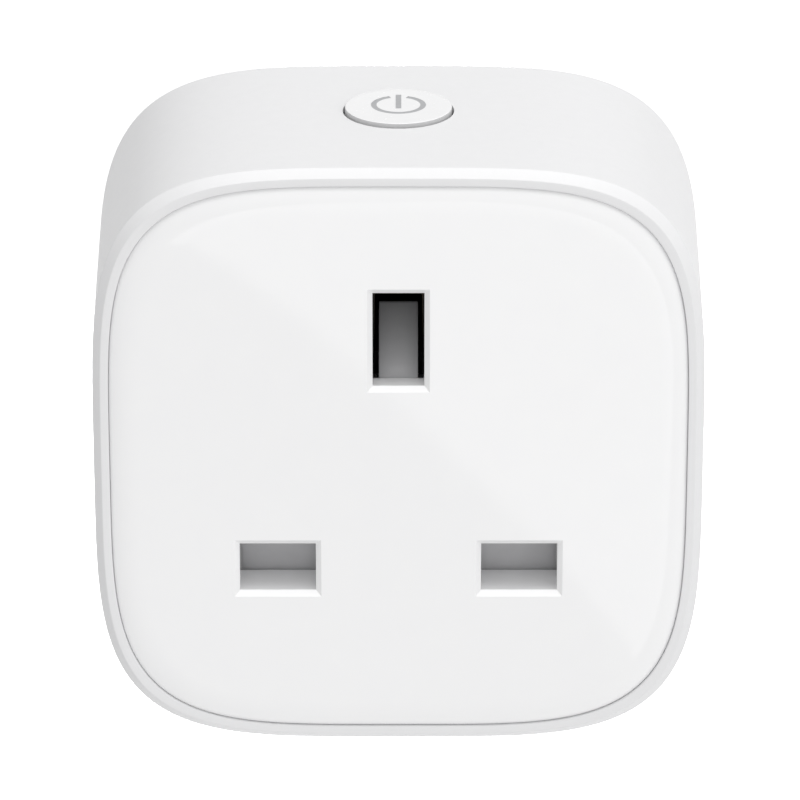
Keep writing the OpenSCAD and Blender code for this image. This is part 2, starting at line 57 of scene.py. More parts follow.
# ---------------------------------------------------------------- places that the frame gives
SLEEVE_LO, SLEEVE_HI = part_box("front_housing")
COVER_LO, COVER_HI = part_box("rear_cover")
SHUTTER_LO, SHUTTER_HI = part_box("shutter")
LIP_Y = SLEEVE_LO.y
BACK_HALF = SLEEVE_HI.x
DROP_Z = (SLEEVE_LO.z + SLEEVE_HI.z) / 2
PLATE_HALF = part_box("face_plate")[1].x
JOINTS = {j["name"]: j for j in frame["joints"]}
PRESS_AXIS = Vector(JOINTS["button_press"]["axis"])

# ---------------------------------------------------------------- sizes of the moulded shells
OUTLINE_POINTS = 288
FRONT_HALF = BACK_HALF - 1.0 * MM
FRONT_N = 4.2
BACK_N = 4.1
LIP_HALF = FRONT_HALF - 0.75 * MM
CHAMFER_D = 0.95 * MM
SLEEVE_D = SLEEVE_HI.y - LIP_Y
WALL = 2.0 * MM
GROOVE_HALF = PLATE_HALF + 0.01 * MM
PLATE_T = 2.0 * MM
CROWN = 0.5 * MM
PLATE_DOME = 0.20 * MM
PLATE_DROP = 0.80 * MM
PLATE_ROUND = 2.6 * MM
COLLAR_D = 4.8 * MM
BLANK_D = (5.0 * MM, 6.6 * MM)
SLOT_X = 11.1 * MM
LIVE_SLOT = (7.0 * MM, 4.6 * MM)
EARTH_SLOT = (4.7 * MM, 8.9 * MM)
SLOT_CHAMFER = 0.5 * MM
BUTTON_R = 4.95 * MM
BUTTON_GAP = 0.2 * MM
BUTTON_PROUD = 0.4 * MM
SYMBOL_D = 0.25 * MM

# ---------------------------------------------------------------- sizes of the plug's pins and screws
LIVE_PIN = (6.35 * MM, 4.0 * MM)
EARTH_PIN = (4.0 * MM, 8.0 * MM)
PIN_GAP = 0.05 * MM
SLEEVE_WALL = 0.4 * MM
HEAD_R = 2.4 * MM
HEAD_T = 1.5 * MM
SHANK_R = 1.1 * MM


# ---------------------------------------------------------------- mesh helpers
def outline(half, n, count=OUTLINE_POINTS):
    """Superellipse outline in the front view, at even angles."""
    points = []
    for i in range(count):
        a = 2 * math.pi * i / count
        c, s = math.cos(a), math.sin(a)
        r = half / (abs(c) ** n + abs(s) ** n) ** (1 / n)
        points.append((r * c, r * s))
    return points


def new_object(name, bm, body):
    """Turns a bmesh into a smooth-shaded piece that rides on a body."""
    bmesh.ops.recalc_face_normals(bm, faces=bm.faces[:])
    mesh = bpy.data.meshes.new(name)
    bm.to_mesh(mesh)
    bm.free()
    piece = bpy.data.objects.new(name, mesh)
    bpy.context.scene.collection.objects.link(piece)
    finish_shading(piece)
    if body:
        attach(piece, body)
    return piece


def finish_shading(piece, angle=math.radians(32)):
    """Smooth faces, split where the surface turns by more than an angle."""
    mesh = piece.data
    mesh.polygons.foreach_set("use_smooth", [True] * len(mesh.polygons))
    mesh.set_sharp_from_angle(angle=angle)
    mesh.update()


def loft(rings, closed=False, cap_first=False, cap_last=False):
    """Skin through rings of points. A closed loft joins its last ring to its first."""
    bm = bmesh.new()
    made = [[bm.verts.new(p) for p in ring] for ring in rings]
    pairs = list(zip(made, made[1:]))
    if closed:
        pairs.append((made[-1], made[0]))
    for a, b in pairs:
        count = len(a)
        for i in range(count):
            j = (i + 1) % count
            bm.faces.new((a[i], a[j], b[j], b[i]))
    if cap_first:
        bm.faces.new(made[0][::-1])
    if cap_last:
        bm.faces.new(made[-1])
    return bm


def body_ring(depth, half, n):
    """Ring of the body's outline at a depth behind the lip."""
    return [(x, LIP_Y + depth, z + DROP_Z) for x, z in outline(half, n)]


def fillet(corner, before, after, radius, steps=4):
    """Points of a rounded corner of a profile, between the points before and after it."""
    c, p, q = Vector(corner), Vector(before), Vector(after)
    u, v = (p - c).normalized(), (q - c).normalized()
    reach = radius / math.tan(u.angle(v) / 2)
    start, end = c + u * reach, c + v * reach
    points = []
    for i in range(steps + 1):
        t = i / steps
        points.append((1 - t) ** 2 * start + 2 * t * (1 - t) * c + t ** 2 * end)
    return points


def rounded_profile(corners, closed=False):
    """Profile from (x, y, radius) corners, with each corner rounded by its radius."""
    points = []
    count = len(corners)
    for i, (x, y, radius) in enumerate(corners):
        inner = closed or 0 < i < count - 1
        if radius and inner:
            before = corners[i - 1][:2]
            after = corners[(i + 1) % count][:2]
            points += fillet((x, y), before, after, radius)
        else:
            points.append(Vector((x, y)))
    return points


def lathe(profile, count=96):
    """Solid of revolution about +Z from (radius, height) points, capped at both ends."""
    rings = []
    for r, h in profile:
        ring = []
        for i in range(count):
            a = 2 * math.pi * i / count
            ring.append((r * math.cos(a), r * math.sin(a), h))
        rings.append(ring)
    return loft(rings, cap_first=True, cap_last=True)


def box_mesh(bm, lo, hi):
    """Adds a box between two corners to a bmesh."""
    made = bmesh.ops.create_cube(bm, size=1)["verts"]
    size, middle = Vector(hi) - Vector(lo), (Vector(hi) + Vector(lo)) / 2
    bmesh.ops.scale(bm, vec=size, verts=made)
    bmesh.ops.translate(bm, vec=middle, verts=made)


def apply_modifiers(piece):
    """Replaces a piece's mesh by what its modifiers make of it."""
    graph = bpy.context.evaluated_depsgraph_get()
    mesh = bpy.data.meshes.new_from_object(piece.evaluated_get(graph))
    piece.modifiers.clear()
    old = piece.data
    piece.data = mesh
    bpy.data.meshes.remove(old)


def boolean(piece, cutter_bm, operation="DIFFERENCE"):
    """Cuts or joins a closed mesh into a piece."""
    mesh = bpy.data.meshes.new("cutter")
    bmesh.ops.recalc_face_normals(cutter_bm, faces=cutter_bm.faces[:])
    cutter_bm.to_mesh(mesh)
    cutter_bm.free()
    cutter = bpy.data.objects.new("cutter", mesh)
    bpy.context.scene.collection.objects.link(cutter)
    modifier = piece.modifiers.new("cut", "BOOLEAN")
    modifier.operation = operation
    modifier.solver = "EXACT"
    modifier.object = cutter
    bpy.context.view_layer.update()
    apply_modifiers(piece)
    bpy.data.objects.remove(cutter)
    bpy.data.meshes.remove(mesh)
    finish_shading(piece)


def outline_slope(x, z, n):
    """Half-width of the outline through a point, and how it grows with x and with z."""
    z = z - DROP_Z
    size = max((abs(x) ** n + abs(z) ** n) ** (1 / n), 1e-9)
    grow_x = math.copysign((abs(x) / size) ** (n - 1), x)
    grow_z = math.copysign((abs(z) / size) ** (n - 1), z)
    return size, grow_x, grow_z


def exact_normals(piece, normal_at, within=math.radians(12)):
    """Gives corners the true normal of a surface wherever a face lies on that surface."""
    mesh = piece.data
    normals = [corner.vector.copy() for corner in mesh.corner_normals]
    least = math.cos(within)
    for face in mesh.polygons:
        for corner in face.loop_indices:
            true = normal_at(mesh.vertices[mesh.loops[corner].vertex_index].co)
            if true.dot(face.normal) > least:
                normals[corner] = true
    mesh.normals_split_custom_set(normals)


def bevel(piece, width, segments=3, angle=math.radians(40)):
    """Rounds a piece's sharp edges."""
    modifier = piece.modifiers.new("bevel", "BEVEL")
    modifier.width = width
    modifier.segments = segments
    modifier.limit_method = "ANGLE"
    modifier.angle_limit = angle
    bpy.context.view_layer.update()
    apply_modifiers(piece)
    finish_shading(piece)


def frustum(place, mouth, throat, y_mouth, y_throat):
    """Tapered rectangular solid along the depth."""
    rings = []
    for size, y in ((mouth, y_mouth), (throat, y_throat)):
        w, h = size[0] / 2, size[1] / 2
        corners = ((-w, -h), (w, -h), (w, h), (-w, h))
        rings.append([(place[0] + x, y, place[1] + z) for x, z in corners])
    return loft(rings, cap_first=True, cap_last=True)


# ---------------------------------------------------------------- material helpers
def material(name, color, roughness, metallic=0.0, **sockets):
    """Principled material with its constant values on the shader's own sockets."""
    made = bpy.data.materials.new(name)
    made.use_nodes = True
    shader = made.node_tree.nodes["Principled BSDF"]
    shader.inputs["Base Color"].default_value = (*color, 1)
    shader.inputs["Roughness"].default_value = roughness
    shader.inputs["Metallic"].default_value = metallic
    for socket, value in sockets.items():
        shader.inputs[socket.replace("_", " ")].default_value = value
    made.diffuse_color = (*color, 1)
    return made


def coordinates(made):
    """Object coordinates, so a pattern moves with its piece."""
    nodes = made.node_tree.nodes
    found = nodes.get("place")
    if not found:
        found = nodes.new("ShaderNodeTexCoord")
        found.name = "place"
    return found.outputs["Object"]


def noise(made, scale, detail=3.0, roughness=0.55, stretch=(1, 1, 1)):
    """Noise pattern, with its scale in cells per metre."""
    tree = made.node_tree
    mapping = tree.nodes.new("ShaderNodeMapping")
    mapping.inputs["Scale"].default_value = stretch
    tree.links.new(coordinates(made), mapping.inputs["Vector"])
    texture = tree.nodes.new("ShaderNodeTexNoise")
    texture.inputs["Scale"].default_value = scale
    texture.inputs["Detail"].default_value = detail
    texture.inputs["Roughness"].default_value = roughness
    tree.links.new(mapping.outputs["Vector"], texture.inputs["Vector"])
    return texture.outputs["Fac"]


def spread(made, value, low, high):
    """Maps a 0 to 1 pattern onto a range."""
    tree = made.node_tree
    node = tree.nodes.new("ShaderNodeMapRange")
    node.inputs["From Min"].default_value = 0.25
    node.inputs["From Max"].default_value = 0.75
    node.inputs["To Min"].default_value = low
    node.inputs["To Max"].default_value = high
    tree.links.new(value, node.inputs["Value"])
    return node.outputs["Result"]


def vary_roughness(made, scale, low, high, **options):
    """Lets the roughness wander between two values."""
    shader = made.node_tree.nodes["Principled BSDF"]
    value = spread(made, noise(made, scale, **options), low, high)
    made.node_tree.links.new(value, shader.inputs["Roughness"])


def vary_color(made, scale, first, second, **options):
    """Lets the colour wander between two colours."""
    tree = made.node_tree
    mix = tree.nodes.new("ShaderNodeMix")
    mix.data_type = "RGBA"
    mix.inputs["A"].default_value = (*first, 1)
    mix.inputs["B"].default_value = (*second, 1)
    factor = spread(made, noise(made, scale, **options), 0, 1)
    tree.links.new(factor, mix.inputs["Factor"])
    tree.links.new(mix.outputs["Result"], tree.nodes["Principled BSDF"].inputs["Base Color"])


def bump(made, scale, height, strength, **options):
    """Fine relief from noise, with its height in metres."""
    tree = made.node_tree
    node = tree.nodes.new("ShaderNodeBump")
    node.inputs["Strength"].default_value = strength
    node.inputs["Distance"].default_value = height
    tree.links.new(noise(made, scale, **options), node.inputs["Height"])
    shader = tree.nodes["Principled BSDF"]
    earlier = shader.inputs["Normal"].links
    if earlier:
        tree.links.new(earlier[0].from_socket, node.inputs["Normal"])
    tree.links.new(node.outputs["Normal"], shader.inputs["Normal"])


def paint(target, made):
    """Puts one material on a piece or on a CAD node."""
    target.data.materials.clear()
    target.data.materials.append(made)


# ---------------------------------------------------------------- materials of the outside
def satin_white(name, color):
    """Polycarbonate with a fine spark-eroded mould texture."""
    low = tuple(c * 0.985 for c in color)
    made = material(name, color, 0.42, Specular_IOR_Level=0.45)
    vary_color(made, 900, low, color, detail=2)
    vary_roughness(made, 5200, 0.38, 0.46, detail=2)
    bump(made, 9000, 0.006 * MM, strength=0.5, detail=2)
    return made


def gloss_white():
    """Polished polycarbonate: a clear reflection with a very slight moulding ripple."""
    made = material("gloss_white", (0.905, 0.905, 0.91), 0.05, Specular_IOR_Level=0.6)
    vary_color(made, 260, (0.90, 0.90, 0.906), (0.91, 0.91, 0.913), detail=2)
    vary_roughness(made, 420, 0.040, 0.060, detail=2)
    bump(made, 170, 0.004 * MM, strength=0.35, detail=1)
    return made


def button_white():
    """Semi-gloss moulding of the button."""
    made = material("button_white", (0.87, 0.87, 0.875), 0.25, Specular_IOR_Level=0.5)
    vary_color(made, 700, (0.86, 0.86, 0.865), (0.88, 0.88, 0.883), detail=2)
    vary_roughness(made, 3000, 0.22, 0.28, detail=2)
    bump(made, 5000, 0.003 * MM, strength=0.4, detail=2)
    return made


def icon_grey():
    """Grey moulding of the inlaid symbol."""
    made = material("icon_grey", (0.42, 0.425, 0.435), 0.35)
    vary_color(made, 1500, (0.40, 0.405, 0.415), (0.44, 0.445, 0.455), detail=2)
    bump(made, 6000, 0.003 * MM, strength=0.4, detail=2)
    return made


def moulded(name, color, roughness):
    """Plain technical moulding: slight flow marks and a fine grain."""
    made = material(name, color, roughness)
    low = tuple(c * 0.93 for c in color)
    vary_color(made, 420, low, color, detail=4, stretch=(1, 0.5, 1.6))
    vary_roughness(made, 3500, roughness - 0.05, roughness + 0.08, detail=2)
    bump(made, 7000, 0.005 * MM, strength=0.6, detail=2)
    return made


def metal(name, color, roughness, stretch=(1, 1, 1)):
    """Bare metal with drawing or tumbling marks along its stretch."""
    scale = 2500
    made = material(name, color, roughness, metallic=1.0)
    low = tuple(c * 0.86 for c in color)
    vary_color(made, scale / 6, low, color, detail=4, stretch=stretch)
    vary_roughness(made, scale, roughness - 0.06, roughness + 0.10, detail=3, stretch=stretch)
    bump(made, scale * 1.6, 0.003 * MM, strength=0.5, detail=2, stretch=stretch)
    return made


SATIN = satin_white("satin_white", (0.80, 0.80, 0.807))
SATIN_REAR = satin_white("satin_white_rear", (0.795, 0.795, 0.802))
GLOSS = gloss_white()
BUTTON = button_white()
# Darker grey for the button cap's sides: painted shade on the white cap, not a second colour of
# moulding.
BUTTON_SIDE_PAINTED_SHADE = moulded("button_side_painted_shade", (0.62, 0.62, 0.625), 0.35)
ICON = icon_grey()
SHUTTER_GREY = moulded("shutter_grey", (0.50, 0.50, 0.51), 0.38)
INSULATOR = moulded("insulator_black", (0.020, 0.020, 0.021), 0.55)
BLACK = moulded("black_moulding", (0.018, 0.018, 0.020), 0.42)
SLEEVE_BLACK = moulded("pin_sleeve_black", (0.014, 0.014, 0.016), 0.36)
BRASS_PIN = metal("brass_pin", (0.80, 0.64, 0.36), 0.24, stretch=(1, 0.12, 1))
BRASS_STRIP = metal("brass_strip", (0.78, 0.60, 0.30), 0.32, stretch=(1, 0.2, 1))
# Contact bronze darkened to near black: painted shade of the deep slots, as the contacts themselves are
# bright bronze.
CONTACT_BRONZE_PAINTED_SHADE = metal("contact_bronze_painted_shade", (0.10, 0.085, 0.07), 0.40, stretch=(1, 0.2, 1))
SCREW_STEEL = metal("screw_steel", (0.62, 0.62, 0.63), 0.28)
SPRING_STEEL = metal("spring_steel", (0.58, 0.58, 0.60), 0.22)


# ---------------------------------------------------------------- materials of the inside
def circuit_board():
    """Green solder mask with copper tracks faintly raised under it."""
    made = material("circuit_board", (0.02, 0.15, 0.07), 0.32, Specular_IOR_Level=0.5)
    tree = made.node_tree
    bricks = tree.nodes.new("ShaderNodeTexBrick")
    bricks.inputs["Scale"].default_value = 320
    bricks.inputs["Mortar Size"].default_value = 0.06
    bricks.inputs["Mortar Smooth"].default_value = 0.4
    bricks.inputs["Color1"].default_value = (0.018, 0.14, 0.062, 1)
    bricks.inputs["Color2"].default_value = (0.030, 0.22, 0.100, 1)
    bricks.inputs["Mortar"].default_value = (0.014, 0.105, 0.048, 1)
    turn = tree.nodes.new("ShaderNodeMapping")
    turn.inputs["Rotation"].default_value = (math.radians(90), 0, 0)
    tree.links.new(coordinates(made), turn.inputs["Vector"])
    tree.links.new(turn.outputs["Vector"], bricks.inputs["Vector"])
    tree.links.new(bricks.outputs["Color"], tree.nodes["Principled BSDF"].inputs["Base Color"])
    vary_roughness(made, 1800, 0.26, 0.40, detail=2)
    bump(made, 2600, 0.010 * MM, strength=0.5, detail=2)
    return made


def wound_tape():
    """Amber tape over a winding, with the wires showing as ridges."""
    made = material("coil_tape", (0.72, 0.46, 0.06), 0.28, Coat_Weight=0.6, Coat_Roughness=0.1)
    vary_color(made, 900, (0.62, 0.36, 0.04), (0.78, 0.54, 0.09), detail=3, stretch=(1, 6, 1))
    bump(made, 1400, 0.05 * MM, strength=0.6, detail=1, stretch=(0.2, 3, 0.2))
    return made


def printed_can():
    """Dark shrink sleeve of an electrolytic capacitor."""
    made = material("capacitor_sleeve", (0.020, 0.024, 0.055), 0.30, Coat_Weight=0.4)
    vary_color(made, 500, (0.016, 0.019, 0.045), (0.030, 0.036, 0.075), detail=3)
    vary_roughness(made, 2600, 0.24, 0.36, detail=2)
    bump(made, 3200, 0.006 * MM, strength=0.5, detail=2)
    return made


BOARD = circuit_board()
TAPE = wound_tape()
CAN = printed_can()
FERRITE = moulded("ferrite_grey", (0.045, 0.045, 0.048), 0.55)
RELAY_BLUE = moulded("relay_blue", (0.020, 0.085, 0.30), 0.28)
FILM_YELLOW = moulded("film_yellow", (0.70, 0.46, 0.03), 0.30)
VARISTOR_BLUE = moulded("varistor_blue", (0.025, 0.10, 0.26), 0.24)
RESISTOR_GREEN = moulded("resistor_green", (0.15, 0.24, 0.19), 0.50)
CHIP_BLACK = moulded("chip_black", (0.016, 0.016, 0.018), 0.50)
LED_CLEAR = moulded("led_clear", (0.80, 0.76, 0.52), 0.20)
SHUNT_METAL = metal("shunt_metal", (0.52, 0.47, 0.42), 0.34)
SHIELD_METAL = metal("shield_metal", (0.68, 0.68, 0.69), 0.30)

# The three contacts take the near-black bronze, which is painted shade of the slots.
CAD_MATERIALS = {
    "tact_plunger": BLACK, "tact_switch": BLACK, "control_board": BOARD, "status_led": LED_CLEAR,
    "contact_carrier": INSULATOR, "pin_clamp": INSULATOR, "carrier_screws": SCREW_STEEL,
    "clamp_screws": SCREW_STEEL, "line_contact": CONTACT_BRONZE_PAINTED_SHADE, "neutral_contact": CONTACT_BRONZE_PAINTED_SHADE,
    "earth_contact": CONTACT_BRONZE_PAINTED_SHADE, "line_link": BRASS_STRIP, "neutral_link": BRASS_STRIP,
    "earth_link": BRASS_STRIP, "main_board": BOARD, "wifi_board": BOARD, "wifi_shield": SHIELD_METAL,
    "relay": RELAY_BLUE, "transformer_core": FERRITE, "transformer_coil": TAPE, "line_choke": FERRITE,
    "bulk_capacitor_a": CAN, "bulk_capacitor_b": CAN, "output_capacitor": CAN,
    "film_capacitor": FILM_YELLOW, "varistor": VARISTOR_BLUE, "fusible_resistor": RESISTOR_GREEN,
    "bridge_rectifier": CHIP_BLACK, "regulator": CHIP_BLACK, "metering_chip": CHIP_BLACK,
    "shunt_resistor": SHUNT_METAL,
}


def paint_cad_nodes():
    """Gives the CAD nodes that stay visible their materials."""
    for node, made in CAD_MATERIALS.items():
        paint(frame["nodes"][node], made)


# ---------------------------------------------------------------- sleeve
def sleeve_half(depth):
    """Half-width of the drafted side wall at a depth."""
    along = (depth - CHAMFER_D) / (SLEEVE_D - CHAMFER_D)
    return FRONT_HALF + (BACK_HALF - FRONT_HALF) * along


def sleeve_n(depth):
    """Exponent of the sleeve's outline at a depth."""
    return FRONT_N + (BACK_N - FRONT_N) * depth / SLEEVE_D


def wall_normal(point):
    """Normal of the drafted side wall."""
    size, grow_x, grow_z = outline_slope(point.x, point.z, sleeve_n(point.y - LIP_Y))
    widening = (BACK_HALF - FRONT_HALF) / (SLEEVE_D - CHAMFER_D)
    return Vector((grow_x, -widening, grow_z)).normalized()


def housing_shell():
    """Drafted sleeve: side wall, front chamfer, flat lip, groove wall, ledge and inner wall."""
    ledge_d = PLATE_T + 0.05 * MM
    ledge_back = PLATE_T + 1.2 * MM
    ledge_half = PLATE_HALF - 1.8 * MM
    corners = [
        (SLEEVE_D, BACK_HALF - WALL, 0),
        (SLEEVE_D, BACK_HALF, 0.25 * MM),
        (CHAMFER_D, FRONT_HALF, 0.22 * MM),
        (0, LIP_HALF, 0.14 * MM),
        (0, GROOVE_HALF, 0.10 * MM),
        (ledge_d, GROOVE_HALF, 0),
        (ledge_d, ledge_half, 0),
        (ledge_back, ledge_half, 0),
        (ledge_back, FRONT_HALF - WALL - 0.5 * MM, 0),
    ]
    profile = rounded_profile(corners, closed=True)
    wall_rings = 24
    long_stretch = 20 * MM
    spaced = []
    for point, after in zip(profile, profile[1:] + profile[:1]):
        spaced.append(point)
        if point[0] - after[0] > long_stretch:
            spaced += [point.lerp(after, i / wall_rings) for i in range(1, wall_rings)]
    rings = [body_ring(d, half, sleeve_n(d)) for d, half in spaced]
    piece = new_object("housing_shell", loft(rings, closed=True), "plug_body")
    boolean(piece, button_hole())
    exact_normals(piece, wall_normal)
    paint(piece, SATIN)
    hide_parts("front_housing")


# ---------------------------------------------------------------- power button
def button_frame():
    """Placement of the button: origin in the skin of the sleeve, +Z out of it, +Y to the back."""
    lo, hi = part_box("power_button")
    depth = (lo.y + hi.y) / 2 - LIP_Y
    out = -PRESS_AXIS
    frame_axes = Matrix((Vector((1, 0, 0)), out.cross(Vector((1, 0, 0))), out)).transposed()
    place = Vector((0, LIP_Y + depth, DROP_Z + sleeve_half(depth)))
    return Matrix.Translation(place) @ frame_axes.to_4x4()


def button_hole():
    """Round hole with a small rounding at the skin."""
    r = BUTTON_R + BUTTON_GAP
    round_r = 0.05 * MM
    profile = [(r, -4 * MM), (r, -round_r)]
    for i in range(1, 6):
        a = math.radians(90 * i / 5)
        profile.append((r + round_r * (1 - math.cos(a)), -round_r + round_r * math.sin(a)))
    profile.append((r + round_r, 2 * MM))
    bm = lathe(profile, count=128)
    bm.transform(button_frame())
    return bm


def button_cap():
    """Cap with a rounded rim, a shallow dish, a retaining flange and a stem."""
    rim = 0.09 * MM
    skirt = 2.6 * MM
    flange_r = BUTTON_R + 0.95 * MM
    flange_t = 0.8 * MM
    dish = 0.05 * MM
    profile = [(0.01 * MM, -skirt - flange_t), (flange_r, -skirt - flange_t), (flange_r, -skirt)]
    profile += [(BUTTON_R, -skirt), (BUTTON_R, BUTTON_PROUD - rim)]
    for i in range(1, 9):
        a = math.radians(90 * i / 8)
        profile.append((BUTTON_R - rim + rim * math.cos(a), BUTTON_PROUD - rim + rim * math.sin(a)))
    for i in range(1, 12):
        r = (BUTTON_R - rim) * (1 - i / 12)
        profile.append((r, BUTTON_PROUD - dish * (1 - (r / BUTTON_R) ** 2)))
    bm = lathe(profile, count=128)
    bm.transform(button_frame())
    piece = new_object("button_cap", bm, "button")
    stem_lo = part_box("tact_plunger")[1].z + 0.05 * MM
    stem_r = 1.7 * MM
    stem_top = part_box("power_button")[1].z - skirt - flange_t
    stem = lathe([(stem_r, stem_lo), (stem_r, stem_top)], count=48)
    stem.transform(Matrix.Translation((0, button_frame().translation.y, 0)))
    boolean(piece, stem, "UNION")
    boolean(piece, symbol_mesh(-SYMBOL_D, 1 * MM))
    paint(piece, BUTTON)
    piece.data.materials.append(BUTTON_SIDE_PAINTED_SHADE)
    # Faces that stand sideways get the darker grey as painted shade; the top keeps the button white.
    upright = 0.5
    for face in piece.data.polygons:
        face.material_index = 1 if abs(face.normal.z) < upright else 0
    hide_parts("power_button")


def symbol_mesh(bottom, top, shrink=0.0):
    """Power symbol: a ring open at the back and a bar through the opening."""
    ring_r = 2.55 * MM
    stroke = 0.52 * MM
    half_gap = 0.78 * MM
    shift = 0.5 * MM
    level = BUTTON_PROUD - 0.05 * MM
    outer, inner = ring_r - shrink, ring_r - stroke + shrink
    middle = (outer + inner) / 2
    opening = math.asin(half_gap / middle) + shrink / middle
    steps = 72
    sections = []
    for i in range(steps + 1):
        a = math.pi / 2 + opening + (2 * math.pi - 2 * opening) * i / steps
        x, y = math.cos(a), math.sin(a)
        corners = ((inner, bottom), (outer, bottom), (outer, top), (inner, top))
        sections.append([(r * x, shift + r * y, level + h) for r, h in corners])
    bm = loft(sections, cap_first=True, cap_last=True)
    bar = stroke / 2 - shrink
    lo = (-bar, shift - 0.4 * ring_r + shrink, level + bottom)
    hi = (bar, shift + 1.1 * ring_r - shrink, level + top)
    box_mesh(bm, lo, hi)
    bm.transform(button_frame())
    return bm


def button_symbol():
    """Symbol let into the cap, a hair smaller than its recess."""
    hair = 0.005 * MM
    piece = new_object("button_symbol", symbol_mesh(-SYMBOL_D, -hair, shrink=hair), "button")
    paint(piece, ICON)
    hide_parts("power_icon")


# ---------------------------------------------------------------- face plate
def plate_depth(half):
    """Depth of the plate's skin: a slight dome with a rounded edge."""
    into = min(max((half - PLATE_HALF + PLATE_ROUND) / PLATE_ROUND, 0), 1)
    dome = PLATE_DOME * (half / PLATE_HALF) ** 7
    return -CROWN + dome + PLATE_DROP * (1 - math.sqrt(1 - into ** 2))


def plate_normal(point):
    """Normal of the plate's skin."""
    size, grow_x, grow_z = outline_slope(point.x, point.z, FRONT_N)
    step = 0.002 * MM
    inner = min(size, PLATE_HALF - 2 * step)
    slope = (plate_depth(inner + step) - plate_depth(inner - step)) / (2 * step)
    return Vector((slope * grow_x, -1, slope * grow_z)).normalized()


def face_plate_gloss():
    """Pillow-shaped plate with a rounded edge, cut by the three slots."""
    flat_half = PLATE_HALF - PLATE_ROUND
    flat_steps, edge_steps = 36, 24
    halves = [flat_half * (0.01 + 0.99 * i / flat_steps) for i in range(flat_steps + 1)]
    for i in range(1, edge_steps + 1):
        halves.append(flat_half + PLATE_ROUND * math.sin(math.radians(90 * i / edge_steps)))
    rings = [body_ring(plate_depth(half), half, FRONT_N) for half in halves]
    rings.append(body_ring(PLATE_T, PLATE_HALF, FRONT_N))
    bm = loft(rings, cap_first=True, cap_last=True)
    piece = new_object("face_plate_gloss", bm, "plug_body")
    live_z = -SLOT_X
    rim = 0.9 * MM
    collar_w, collar_h = (s / 2 + rim for s in LIVE_SLOT)
    for side in (-1, 1):
        collar = bmesh.new()
        lo = (side * SLOT_X - collar_w, LIP_Y + PLATE_T - 0.5 * MM, live_z - collar_h)
        hi = (side * SLOT_X + collar_w, LIP_Y + COLLAR_D, live_z + collar_h)
        box_mesh(collar, lo, hi)
        boolean(piece, collar, "UNION")
    slots = (((-SLOT_X, live_z), LIVE_SLOT), ((SLOT_X, live_z), LIVE_SLOT), ((0, SLOT_X), EARTH_SLOT))
    surface = LIP_Y - CROWN
    over = 0.6 * MM
    for place, size in slots:
        mouth = tuple(s + 2 * (SLOT_CHAMFER + over) for s in size)
        boolean(piece, frustum(place, mouth, size, surface - over, surface + SLOT_CHAMFER))
        boolean(piece, frustum(place, size, size, surface - over, LIP_Y + COLLAR_D + 1 * MM))
    exact_normals(piece, plate_normal)
    paint(piece, GLOSS)
    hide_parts("face_plate")


# ---------------------------------------------------------------- rear cover
def rear_shell():
    """Back shell with a rounded edge, pin openings and screw recesses."""
    depth = COVER_HI.y - SLEEVE_HI.y
    half = COVER_HI.x
    reach = 0.62 * depth
    spigot_half = BACK_HALF - WALL - 0.2 * MM
    spigot_len, spigot_wall = 1.6 * MM, 1.4 * MM
    seam = 0.15 * MM
    start = SLEEVE_D - spigot_len
    rings = [body_ring(start, spigot_half - spigot_wall, BACK_N)]
    rings.append(body_ring(start, spigot_half, BACK_N))
    rings.append(body_ring(SLEEVE_D, spigot_half, BACK_N))
    rings.append(body_ring(SLEEVE_D, half - seam, BACK_N))
    steps = 16
    for i in range(steps + 1):
        a = math.radians(90 * i / steps)
        d = SLEEVE_D + seam + (depth - seam) * math.sin(a)
        rings.append(body_ring(d, half - reach * (1 - math.cos(a)), BACK_N))
    bm = loft(rings, cap_first=True, cap_last=True)
    piece = new_object("rear_shell", bm, "plug_body")
    for node in ("line_pin_sleeve", "neutral_pin_sleeve"):
        lo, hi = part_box(node)
        place = ((lo.x + hi.x) / 2, (lo.z + hi.z) / 2)
        cut_pin_hole(piece, place, (hi.x - lo.x, hi.z - lo.z))
    cut_pin_hole(piece, (0, SLOT_X), EARTH_PIN)
    recess_r = HEAD_R + 0.25 * MM
    recess_profile = [(recess_r, -1.8 * MM), (recess_r, -0.15 * MM), (recess_r + 0.2 * MM, 1 * MM)]
    for x, z in screw_places():
        recess = lathe(recess_profile, count=48)
        recess.transform(Matrix.Translation((x, 0, z)) @ Matrix.Rotation(math.radians(-90), 4, "X"))
        boolean(piece, recess)
    paint(piece, SATIN_REAR)
    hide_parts("rear_cover")


def cut_pin_hole(piece, place, size):
    """Opening for a pin of a size, with a small chamfer at the rear face."""
    over = 0.3 * MM
    hole = tuple(s + 2 * PIN_GAP for s in size)
    mouth = tuple(s + 2 * over for s in hole)
    boolean(piece, frustum(place, hole, hole, COVER_LO.y - 1 * MM, 1 * MM))
    boolean(piece, frustum(place, mouth, hole, over / 2, -over / 2))


def screw_places():
    """Centres of the four cover screws."""
    lo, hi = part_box("cover_screws")
    return [(x, z) for x in (lo.x + HEAD_R, hi.x - HEAD_R) for z in (lo.z + HEAD_R, hi.z - HEAD_R)]


